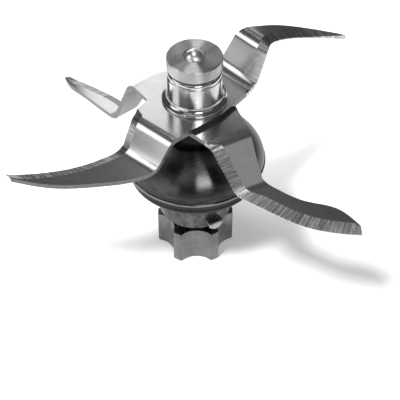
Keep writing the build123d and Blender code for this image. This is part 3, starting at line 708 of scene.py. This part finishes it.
class Strip:
    """Works out the mesh of one blade strip, in millimetres."""

    def __init__(self, settings, low_z):
        self.sheet = settings.sheet / MM
        self.bend = settings.bend_radius / MM
        self.bevel = settings.bevel / MM
        self.edge = settings.edge / MM
        self.heel_run = settings.heel_run / MM
        self.root_run = settings.root_run / MM
        self.hub = settings.hub_radius / MM
        self.low_z = low_z
        self.top_z = low_z + self.sheet

    def bend_path(self, out, z, before, after):
        """Points (distance out, height, slope) of the top face round a bend."""
        turn = after - before
        radius = self.bend if turn > 0 else -self.bend
        run = self.bend * tan(abs(turn) / 2)
        centre_out = out - run * cos(before) - radius * sin(before)
        centre_z = z + run * sin(before) - radius * cos(before)
        slopes = [before + turn * step / BEND_STEPS for step in range(BEND_STEPS + 1)]
        return [(centre_out + radius * sin(lean), centre_z + radius * cos(lean), lean) for lean in slopes]

    def section(self, front, back, slope, bevel, share=1.0):
        """Closed section: top from the back to the bevel, ground front, underside."""
        drop = Vector((sin(slope), 0, cos(slope)))
        chord = (back - front).length
        width = min(bevel * share, GRIND_LIMIT * chord)
        ridge = front.lerp(back, width / chord)
        depth = (self.sheet - self.edge) * width / bevel
        upper = [back.lerp(ridge, step / FACE_STEPS) for step in range(FACE_STEPS + 1)]
        under = [point - drop * self.sheet for point in reversed(upper)]
        return [*upper, front - drop * depth, front - drop * self.sheet, *under]

    def ground_share(self, arm, out):
        """Share of the full bevel at a distance out: a broken edge up to the heel, then a round run."""
        run = min(max((out - arm.heel) / self.heel_run, 0.0), 1.0)
        return max(EDGE_BREAK, sin(run * pi / 2))

    def sections(self, arm):
        """Sections of an arm from its root to its tip."""
        slope, tilt = radians(arm.slope), radians(arm.tilt)
        low_z = self.top_z - (arm.second_bend - arm.first_bend) * tan(slope)
        front, back = Outline(arm.leading), Outline(arm.trailing)
        first = self.bend_path(arm.first_bend, self.top_z, 0.0, slope)
        second = self.bend_path(arm.second_bend, low_z, slope, tilt)
        root = min(arm.heel, first[0][0] - self.root_run)
        run = [root] + [arm.heel + self.heel_run * step / HEEL_STEPS for step in range(1, HEEL_STEPS)]
        flat = [(out, self.top_z, 0.0) for out in run if out < first[0][0]]
        middle = tuple((before + after) / 2 for before, after in zip(first[-1], second[0]))
        made = []
        for out, z, lean in [*flat, *first, middle, *second]:
            ends = [edge.at(out).to_3d() + Vector((0, 0, z)) for edge in (front, back)]
            made.append(self.section(*ends, lean, self.bevel, self.ground_share(arm, out)))
        for step in range(1, SWEEP_STEPS + 1):
            lead, heading = front.swept(step / SWEEP_STEPS)
            trail, _ = back.swept(step / SWEEP_STEPS)
            if min(lead.x, trail.x) < second[-1][0] + BEND_CLEAR:
                continue
            chord = (trail - lead).normalized()
            skew = abs(heading.x * chord.y - heading.y * chord.x)
            ends = [Vector((*spot, low_z - (spot.x - arm.second_bend) * tan(tilt)))
                    for spot in (lead, trail)]
            made.append(self.section(*ends, tilt, self.bevel / skew))
        return made

    def mesh(self, name, arms, hole, finishes):
        """Mesh of the strip: its flat middle and its arms, with lengths along and across as its map."""
        work = bmesh.new()
        chart = work.loops.layers.uv.new("UVMap")
        roots = []
        for arm in arms:
            turn = Matrix.Rotation(radians(arm.azimuth), 3, "Z")
            rows = [[work.verts.new(turn @ spot * MM) for spot in section] for section in self.sections(arm)]
            self.dress_arm(skin(work, rows), rows, chart)
            work.faces.new(rows[-1])
            roots.append(rows[0])
        self.add_middle(work, roots, hole, chart)
        mesh = to_mesh(work, name)
        for finish in finishes:
            mesh.materials.append(finish)
        return mesh

    def dress_arm(self, rings, rows, chart):
        """Finishes of an arm's faces, and its map."""
        along = 0.0
        for ring, before, after in zip(rings, rows, rows[1:]):
            step = (after[FACE_STEPS].co - before[FACE_STEPS].co).length
            for index, face in enumerate(ring):
                face.material_index = EDGE_FINISHES.get(index, SATIN)
                for loop in face.loops:
                    far = loop.vert in after
                    start = after[0] if far else before[0]
                    loop[chart].uv = (along + step * far, (loop.vert.co - start.co).length)
            along += step

    def add_middle(self, work, roots, hole, chart):
        """Flat middle between the arms' roots, with the spindle's hole."""
        upper, under, walls = [], [], []
        fronts = [work.verts.new((*root[FACE_STEPS + 2].co.xy, self.top_z * MM)) for root in roots]
        pairs = list(zip(roots, fronts))
        for (root, front), (following, ahead) in zip(pairs, pairs[1:] + pairs[:1]):
            work.faces.new((root[FACE_STEPS], root[FACE_STEPS + 1], front)).material_index = GROUND
            upper += [front, *reversed(root[:FACE_STEPS + 1])]
            under += root[FACE_STEPS + 2:]
            spots = self.hub_arc(root[0].co.xy, ahead.co.xy)
            highs = [work.verts.new((*spot, self.top_z * MM)) for spot in spots]
            lows = [work.verts.new((*spot, self.low_z * MM)) for spot in spots]
            chain = list(zip([root[0], *highs], [root[-1], *lows]))
            walls += [(*reversed(after), *before) for before, after in zip(chain, chain[1:])]
            walls.append((following[FACE_STEPS + 2], following[FACE_STEPS + 1], ahead, highs[-1], lows[-1]))
            upper += highs
            under += lows
        bore = [[work.verts.new((*vert.co.xy.normalized() * hole, z * MM)) for vert in upper]
                for z in (self.top_z, self.low_z)]
        faces = [work.faces.new(wall) for wall in walls]
        for face in faces:
            face.material_index = SHEARED
        for ring in skin(work, [upper, bore[0], bore[1], under]):
            faces += ring
        for face in faces:
            for loop in face.loops:
                loop[chart].uv = loop.vert.co.xy

    def hub_arc(self, start, end):
        """Points on the hub's circle between the lines that touch it from two corners."""
        radius = self.hub * MM
        first = atan2(start.y, start.x)
        last = atan2(end.y, end.x)
        last += 2 * pi if last < first else 0.0
        first += acos(min(1.0, radius / start.length))
        last -= acos(min(1.0, radius / end.length))
        return [Vector(spot) for spot in arc((0, 0), (radius, radius), first, last, HUB_STEPS)]


class BLADES_OT_strips(Operator):
    """Builds the upper and the lower blade strip"""

    bl_idname = "blades.strips"
    bl_label = "Blade strips"

    def execute(self, context):
        settings = context.scene.blade_strips
        finishes = (
            blade_satin("blade_satin", settings.satin),
            blade_scratched("blade_ground", settings.ground, 1.0),
            blade_scratched("blade_sheared", settings.sheared, 0.4),
            # painted shade: the same satin finish, darker, on the undersides
            blade_satin("blade_underside", settings.underside_shade),
        )
        hole = context.scene.blade_hub.spindle + FIT_GAP
        lower = top("blade_seat")
        for node, arms, foot in (("lower_blade", (FRONT_RIGHT, BACK_LEFT), lower),
                                 ("upper_blade", (FRONT_LEFT, BACK_RIGHT), lower + settings.sheet)):
            name = node + "_strip"
            mesh = Strip(settings, foot / MM).mesh(name, arms, hole, finishes)
            mesh = outward(mesh, STRIP_SMOOTH_LIMIT)
            holder = holder_of(weigh_corners(mesh, CORNER_LIMIT, settings.soft))
            corners = holder.modifiers.new("Broken corners", "BEVEL")
            corners.width = settings.soft
            corners.segments = CORNER_STEPS
            corners.limit_method = "WEIGHT"
            corners.harden_normals = True
            corners.material = SHEARED
            add_piece(name, finished(holder), ROTOR, node)
        return {"FINISHED"}


# Spindle, cap and collar

CAP_ROUND = 0.08 * MM
FLANGE_ROUND = 0.35 * MM
FLARE_END = 1.4 * pi  # angle at which the arc of the flare runs out on the flange
NOTCH_STEPS = 10


class BLADES_OT_hub(Operator):
    """Builds the spindle, the cap and the collar"""

    bl_idname = "blades.hub"
    bl_label = "Spindle, cap and collar"

    def execute(self, context):
        settings = context.scene.blade_hub
        # painted highlight: the spindle's steel is made lighter than the cap's, so that its dome shows
        # bright
        finish = turned_steel("spindle_steel", settings.dome, 0.3, 0.0)
        add_turned("spindle", self.spindle(settings), finish, ROTOR, "drive_shaft")
        finish = turned_steel("cap_steel", settings.turned, 0.38, 1.0)
        add_turned("cap", self.cap(settings), finish, ROTOR, "top_cap")
        finish = polished_steel(settings.polished)
        add_turned("collar", self.collar(settings), finish, ROTOR, "hub_collar")
        return {"FINISHED"}

    def spindle(self, settings):
        """Outline of a bar with a stepped, domed end."""
        foot, step, crown = low("drive_shaft"), low("top_cap"), top("drive_shaft")
        ball = (settings.tip**2 + settings.crown**2) / (2 * settings.crown)
        rise = acos(1 - settings.crown / ball)
        dome = arc((0, crown - ball), (ball, ball), pi / 2 - rise, pi / 2, ARC_STEPS)
        return [(0, foot), (settings.spindle, foot), (settings.spindle, step), (settings.tip, step), *dome]

    def cap(self, settings):
        """Outline of a disc with chamfered rims and a countersunk bore."""
        foot, crown, radius = low("top_cap"), top("top_cap"), reach("top_cap")
        bore, sink, cut = settings.tip + FIT_GAP, settings.countersink, settings.cap_chamfer
        return rounded([(bore, foot), (radius - cut, foot), (radius, foot + cut), (radius, crown - cut),
                        (radius - cut, crown), (bore + sink, crown), (bore, crown - sink)], CAP_ROUND)

    def collar(self, settings):
        """Outline of a spool with a flared foot, a bead and a narrow neck."""
        foot, crown, flange = low("hub_collar"), top("hub_collar"), reach("hub_collar")
        bore, body, neck_radius = settings.spindle + FIT_GAP, settings.body, settings.neck_radius
        brim, flare = foot + settings.flange, foot + settings.flare
        neck = crown - settings.neck
        bead = neck - settings.bead
        half, crest = settings.bead / 2, settings.bead_round
        sweep = arc((flange, flare), (flange - body, flare - brim), pi, FLARE_END, ARC_STEPS)
        notch = arc((body, bead), (settings.groove, settings.groove), pi / 2, 1.5 * pi, NOTCH_STEPS)
        swell = arc((settings.bead_radius - crest, neck - half), (crest, half), pi / 2, 0, ARC_STEPS)
        return [(bore, crown), (neck_radius, crown), (neck_radius, neck), *swell, *notch, *sweep,
                *rim(flange, brim, foot, FLANGE_ROUND), (bore, foot)]


# Seat, bell, ring and housing

SHELL_STEPS, LINING_STEPS = 48, 32
SHELL_END = 0.05  # angle at which the arc of the dome runs out on the rim
BELL_ROUND = 0.4 * MM
SEAT_EDGE = 0.5 * MM
SEAT_ROUND = 0.12 * MM
RING_ROUND = 0.15 * MM
BASE_EDGE = 0.4 * MM
BASE_ROUND = 0.1 * MM


class BLADES_OT_base(Operator):
    """Builds the seat, the bell, the sealing ring and the housing"""

    bl_idname = "blades.base"
    bl_label = "Seat, bell, ring and housing"

    def execute(self, context):
        settings = context.scene.blade_base
        rim_height = low("bell_cover") + settings.bell_lip
        finish = dark_brushed("bell_steel", settings.dark, 0.95, settings.bell_radius, rim_height)
        add_turned("bell", self.bell(settings), finish, HOUSING, "bell_cover")
        # painted shade: the seat is near-black steel, for the deep shade under the strips
        finish = turned_steel("seat_steel", settings.seat, 0.12, 0.0)
        bore = context.scene.blade_hub.spindle + FIT_GAP
        add_turned("seat", self.seat(settings, bore), finish, ROTOR, "blade_seat")
        finish = black_rubber("ring_rubber", settings.rubber)
        add_turned("ring", self.ring(settings), finish, HOUSING, "sealing_ring")
        finish = scuffed_coat(settings.coat)
        add_turned("base", self.housing(settings), finish, HOUSING, "base_housing")
        return {"FINISHED"}

    def bell(self, settings):
        """Outline of a thin dome with a rolled rim."""
        ledge, hole = low("bell_cover"), settings.bell_hole
        foot = ledge + settings.bell_lip
        outer, rise = settings.bell_radius, settings.bell_rise
        inner, hollow = outer - settings.bell_wall, rise - settings.bell_wall
        shell = arc((0, foot), (outer, rise), acos(hole / outer), SHELL_END, SHELL_STEPS)
        lining = arc((0, foot), (inner, hollow), 0, acos(hole / inner), LINING_STEPS)
        return [*shell, *rim(reach("bell_cover"), foot, ledge, BELL_ROUND), (inner, ledge), *lining]

    def seat(self, settings, bore):
        """Outline of a flanged sleeve with a skirt over the bell."""
        foot, crown, radius = low("blade_seat"), top("blade_seat"), reach("blade_seat")
        sleeve, skirt = settings.seat_spigot, radius - settings.seat_wall
        dome = low("bell_cover") + settings.bell_lip
        roof = dome + settings.bell_rise + settings.seat_gap
        hem = dome + settings.bell_rise * sqrt(1 - (skirt / settings.bell_radius) ** 2) + settings.seat_gap
        return rounded([
            (bore, foot), (sleeve, foot), (sleeve, roof), (skirt, roof), (skirt, hem), (radius, hem),
            (radius, crown - SEAT_EDGE), (radius - SEAT_EDGE, crown), (bore, crown)], SEAT_ROUND)

    def ring(self, settings):
        """Outline of a rubber ring with a lip below a grooved rim."""
        foot, crown, radius = low("sealing_ring"), top("sealing_ring"), reach("sealing_ring")
        bore, groove = settings.ring_seat + FIT_GAP, settings.ring_groove
        lip = foot + settings.ring_lip
        return rounded([
            (bore, foot), (radius - groove / 2, foot), (radius, foot + groove / 2), (radius, lip),
            (radius - groove, (lip + crown) / 2), (radius - groove, crown), (bore, crown)],
            RING_ROUND, steps=4)

    def housing(self, settings):
        """Outline of a turned base with neck, spigot, ledge and boss."""
        foot, crown, ledge_radius = low("base_housing"), top("base_housing"), reach("base_housing")
        floor, flange, ledge = low("sealing_ring"), top("sealing_ring"), low("bell_cover")
        neck, spigot, seat = settings.neck_radius, settings.spigot, settings.ring_seat
        shoulder, step = foot + settings.neck_length, ledge + settings.register_height
        register, boss, web, edge = settings.register_radius, settings.boss, settings.web, BASE_EDGE
        pocket = reach("upper_outer_race") + FIT_GAP
        shelf, stop = low("upper_outer_race"), top("lower_outer_race")
        return rounded([
            (neck - edge, foot), (neck, foot + edge), (neck, shoulder), (spigot - edge, shoulder),
            (spigot, shoulder + edge), (spigot, floor), (seat, floor), (seat, flange),
            (ledge_radius, flange), (ledge_radius, ledge), (register, ledge), (register, step),
            (boss, step), (boss, crown - edge), (boss - edge, crown), (pocket, crown),
            (pocket, shelf), (web, shelf), (web, stop), (pocket, stop), (pocket, foot)], BASE_ROUND)


# Bayonet pins

PIN_STEPS = 48
PIN_EDGE = 0.3 * MM
PIN_SINK = 0.1 * MM  # how far inside the neck a pin's flat begins


class BLADES_OT_pins(Operator):
    """Builds the bayonet pins across the housing's neck"""

    bl_idname = "blades.pins"
    bl_label = "Bayonet pins"

    def execute(self, context):
        settings = context.scene.blade_base
        finish = cast_satin("pin_steel", settings.pin, 1.0, 0.25)
        values = {"Count": settings.pin_count, "First": settings.pin_azimuth, "Finish": finish}
        mesh = run_tree(self.pin(settings), ring_tree(), values)
        add_piece("pins", mesh, HOUSING, "bayonet_pins")
        return {"FINISHED"}

    def pin(self, settings):
        """Mesh of a pin along +X whose outer part is flattened on top."""
        radius, flat, end = settings.pin_radius, settings.pin_flat, settings.pin_reach
        axis = low("bayonet_pins") + radius
        shoulder = settings.neck_radius - PIN_SINK
        stations = (
            (settings.pin_root, radius, radius), (shoulder, radius, radius), (shoulder, radius, flat),
            (end - PIN_EDGE, radius, flat), (end, radius - PIN_EDGE, flat - PIN_EDGE))
        work = bmesh.new()
        rows = []
        for out, size, ceiling in stations:
            circle = arc((0, 0), (size, size), 0, 2 * pi, PIN_STEPS)[1:]
            rows.append([work.verts.new((out, y, axis + min(z, ceiling))) for y, z in circle])
        skin(work, rows)
        work.faces.new(rows[0])
        work.faces.new(rows[-1])
        return to_mesh(work, "pin")


# Drive coupling

FLUTE_STEPS = 48
ROUND_RISE, ROUND_INSET = 0.3, 0.35  # shares of a chamfer at its rounded middle
COUPLING_SMOOTH_LIMIT = radians(28)


def star(settings, inset):
    """Outline of the lobed star drawn in by an inset, at even steps of angle."""
    radius, hollow = settings.radius - inset, settings.flute + inset
    centre, blend = settings.floor + settings.flute, settings.soft / 2
    pitch = 2 * pi / settings.lobes
    outline = []
    for step in range(settings.lobes * FLUTE_STEPS):
        swing = pitch * ((step % FLUTE_STEPS) / FLUTE_STEPS - 0.5)
        away = pitch / 2 - abs(swing)
        chord = hollow**2 - (centre * sin(away)) ** 2
        wall = centre * cos(away) - sqrt(chord) if chord > 0 else 2 * radius
        overlap = max(0.0, blend - abs(wall - radius))
        spot = min(wall, radius) - overlap**2 / (4 * blend)
        turn = settings.phase + step * pitch / FLUTE_STEPS - pitch / 2
        outline.append((spot * cos(turn), spot * sin(turn)))
    return outline


class BLADES_OT_coupling(Operator):
    """Builds the lobed drive coupling"""

    bl_idname = "blades.coupling"
    bl_label = "Drive coupling"

    def execute(self, context):
        settings = context.scene.blade_coupling
        mesh = self.mesh(settings, context.scene.blade_hub.spindle + FIT_GAP)
        mesh.materials.append(cast_satin("coupling_satin", settings.satin, 1.0, 0.24))
        add_piece("coupling", outward(mesh, COUPLING_SMOOTH_LIMIT), ROTOR, "drive_coupling")
        return {"FINISHED"}

    def mesh(self, settings, bore):
        """Star, boss, bore and screw pocket as one closed skin."""
        crown, height, cut = top("drive_coupling"), settings.height, settings.chamfer
        depth, rise, inset = settings.pocket_depth, cut * ROUND_RISE, cut * ROUND_INSET
        levels = ((0.0, cut), (rise, inset), (cut, 0.0),
                  (height - cut, 0.0), (height - rise, inset), (height, cut))
        rings = [[(*spot, z) for spot in star(settings, drawn)] for z, drawn in levels]
        turns = [atan2(y, x) for x, y, _ in rings[0]]
        for z, radius in ((height, settings.boss), (crown, settings.boss), (crown, bore), (depth, bore),
                          (depth, settings.pocket), (0.0, settings.pocket)):
            rings.append([(radius * cos(turn), radius * sin(turn), z) for turn in turns])
        work = bmesh.new()
        rows = [[work.verts.new(spot) for spot in ring] for ring in rings]
        skin(work, [*rows, rows[0]])
        return to_mesh(work, "coupling")


# Inner works

CAGE_GREY = (0.2, 0.2, 0.2)


class BLADES_OT_inner(Operator):
    """Gives the bearings, the seal and the screw inside the base their finishes"""

    bl_idname = "blades.inner"
    bl_label = "Inner works"

    def execute(self, context):
        bright = context.scene.blade_hub.turned
        groups = {
            cast_satin("bearing_steel", bright, 1.0, 0.16): (
                "upper_inner_race", "upper_outer_race", "lower_inner_race", "lower_outer_race",
                "upper_balls", "lower_balls", "seal_spring", "bore_clip"),
            cast_satin("cage_plastic", CAGE_GREY, 0.0, 0.5): ("upper_cage", "lower_cage"),
            turned_steel("sleeve_steel", bright, 0.3, 0.0): (
                "race_spacer", "coupling_washer", "coupling_screw"),
            black_rubber("seal_rubber", context.scene.blade_base.rubber): ("shaft_seal",),
        }
        for finish, nodes in groups.items():
            for node in nodes:
                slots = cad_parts[node].data.materials
                slots.clear()
                slots.append(finish)
        return {"FINISHED"}


# Stage

CLIP_START = 10 * MM


class Card(NamedTuple):
    """Soft light panel; at a level of 1 it shows white in a mirror, if it is mirrored at all."""

    name: str
    place: tuple
    target: tuple
    size: tuple
    level: float
    mirrored: bool = True


# Places, targets and sizes in metres
CARDS = (
    Card("back_card", (-0.018, 0.09, 0.1315), (-0.018, 0, 0.1315), (0.026, 0.063), 1.3),
    Card("back_low_card", (-0.028, 0.09, 0.075), (-0.028, 0, 0.075), (0.044, 0.05), 1.3),
    Card("back_right_card", (0.02, 0.09, 0.115), (0.02, 0, 0.115), (0.02, 0.05), 0.5),
    Card("left_card", (-0.266, -0.02, 0.27), (0, 0, 0.05), (0.16, 0.15), 2.0),
    Card("low_card", (-0.247, -0.223, 0.158), (0, 0, 0.05), (0.28, 0.16), 1.1),
    Card("wall_card", (-0.3, -0.12, 0.065), (0, 0, 0.055), (0.36, 0.13), 0.6),
    Card("key_card", (-0.13, -0.21, 0.485), (0, 0, 0.05), (0.18, 0.18), 0.6),
    Card("roof_card", (-0.045, 0.13, 0.5), (-0.045, 0.13, 0), (0.12, 0.14), 6.0),
    Card("roof_near_card", (0, 0, 0.5), (0, 0, 0), (0.14, 0.12), 0.8),
    Card("right_card", (0.34, -0.27, 0.33), (0, 0, 0.05), (0.3, 0.3), 0.27),
    Card("right_lamp", (0.1, -0.318, 0.427), (0, 0, 0.04), (0.16, 0.14), 7.5),
    Card("shade_lamp", (-0.62, -0.72, 1.76), (0, 0, 0), (0.3, 0.3), 135.0, False),
)


class BLADES_OT_stage(Operator):
    """Adds the floor, the lights, the room and the camera"""

    bl_idname = "blades.stage"
    bl_label = "Stage"

    def execute(self, context):
        settings = context.scene.blade_stage
        self.add_floor(settings)
        for card in CARDS:
            self.add_card(card)
        room = bpy.data.worlds.new("room")
        room.use_nodes = True
        room.node_tree.nodes["Background"].inputs["Color"].default_value = (*settings.room, 1)
        context.scene.world = room
        self.add_camera(context.scene, settings)
        context.scene.view_settings.view_transform = "Standard"
        return {"FINISHED"}

    def add_floor(self, settings):
        """Wide pale floor just under the coupling's foot."""
        half, sink = settings.floor_size / 2, -FIT_GAP
        mesh = bpy.data.meshes.new("floor")
        corners = [(-half, -half, sink), (half, -half, sink), (half, half, sink), (-half, half, sink)]
        mesh.from_pydata(corners, [], [(0, 1, 2, 3)])
        mesh.materials.append(self.paper(settings))
        floor = bpy.data.objects.new("floor", mesh)
        bpy.context.scene.collection.objects.link(floor)

    def paper(self, settings):
        """Matt paper that glows towards the back, for the eye and for mirrors only, to show white."""
        paper = bpy.data.materials.new("white_paper")
        paper.use_nodes = True
        tree = paper.node_tree
        tree.nodes.clear()
        place = add_node(tree, "ShaderNodeTexCoord", {}).outputs["Object"]
        depth = add_node(tree, "ShaderNodeSeparateXYZ", {0: place}).outputs["Y"]
        fade = add_node(tree, "ShaderNodeMapRange", {
            "Value": depth, "From Min": settings.near_edge, "From Max": settings.far_edge,
            "To Min": settings.near_glow, "To Max": settings.far_glow}).outputs[0]
        glow = add_node(tree, "ShaderNodeEmission", {"Strength": fade}).outputs[0]
        matt = add_node(tree, "ShaderNodeBsdfDiffuse", {"Color": (*settings.floor, 1)}).outputs[0]
        glowing = add_node(tree, "ShaderNodeAddShader", {0: matt, 1: glow}).outputs[0]
        ray = add_node(tree, "ShaderNodeLightPath", {}).outputs
        seen = ray["Is Camera Ray"]
        for mirrored in (ray["Is Glossy Ray"], ray["Is Transmission Ray"]):
            seen = add_node(tree, "ShaderNodeMath", {0: seen, 1: mirrored}, operation="MAXIMUM").outputs[0]
        shown = add_node(tree, "ShaderNodeMixShader", {0: seen, 1: matt, 2: glowing}).outputs[0]
        add_node(tree, "ShaderNodeOutputMaterial", {"Surface": shown})
        return paper

    def add_card(self, card):
        """Area light for a card, out of the camera's sight."""
        light = bpy.data.lights.new(card.name, "AREA")
        light.shape = "RECTANGLE"
        light.size, light.size_y = card.size
        light.energy = card.level * pi * card.size[0] * card.size[1]
        panel = bpy.data.objects.new(card.name, light)
        panel.location = card.place
        panel.rotation_euler = (Vector(card.place) - Vector(card.target)).to_track_quat("Z", "Y").to_euler()
        panel.visible_camera = False
        panel.visible_glossy = card.mirrored
        bpy.context.scene.collection.objects.link(panel)

    def add_camera(self, scene, settings):
        """Camera at the photo's angle."""
        lens = bpy.data.cameras.new("camera")
        lens.lens = settings.lens
        lens.clip_start = CLIP_START
        camera = bpy.data.objects.new("camera", lens)
        aim = Vector((0, -cos(settings.elevation), sin(settings.elevation)))
        camera.location = Vector(settings.target) + aim * settings.distance
        camera.rotation_euler = aim.to_track_quat("Z", "Y").to_euler()
        scene.collection.objects.link(camera)
        scene.camera = camera


# Add-on

STEPS = (
    BLADES_OT_strips,
    BLADES_OT_hub,
    BLADES_OT_base,
    BLADES_OT_pins,
    BLADES_OT_coupling,
    BLADES_OT_inner,
    BLADES_OT_stage,
)


class BLADES_PT_panel(Panel):
    """Lists the steps that build the assembly, and their settings"""

    bl_label = "Jug blade assembly"
    bl_idname = "BLADES_PT_panel"
    bl_space_type = "VIEW_3D"
    bl_region_type = "UI"
    bl_category = "Blades"

    def draw(self, context):
        for step in STEPS:
            self.layout.operator(step.bl_idname)
        for name, group in SETTINGS.items():
            box = self.layout.box()
            for key in group.__annotations__:
                box.prop(getattr(context.scene, name), key)


def register():
    """Registers the settings, the steps and the panel."""
    for group in (*SETTINGS.values(), *STEPS, BLADES_PT_panel):
        bpy.utils.register_class(group)
    for name, group in SETTINGS.items():
        setattr(bpy.types.Scene, name, PointerProperty(type=group))


def unregister():
    """Takes back what register added."""
    for name in SETTINGS:
        delattr(bpy.types.Scene, name)
    for group in (BLADES_PT_panel, *STEPS, *SETTINGS.values()):
        bpy.utils.unregister_class(group)


def main():
    """Builds every piece."""
    register()
    bpy.ops.blades.strips()
    bpy.ops.blades.hub()
    bpy.ops.blades.base()
    bpy.ops.blades.pins()
    bpy.ops.blades.coupling()
    bpy.ops.blades.inner()
    bpy.ops.blades.stage()


if __name__ == "__main__":
    main()
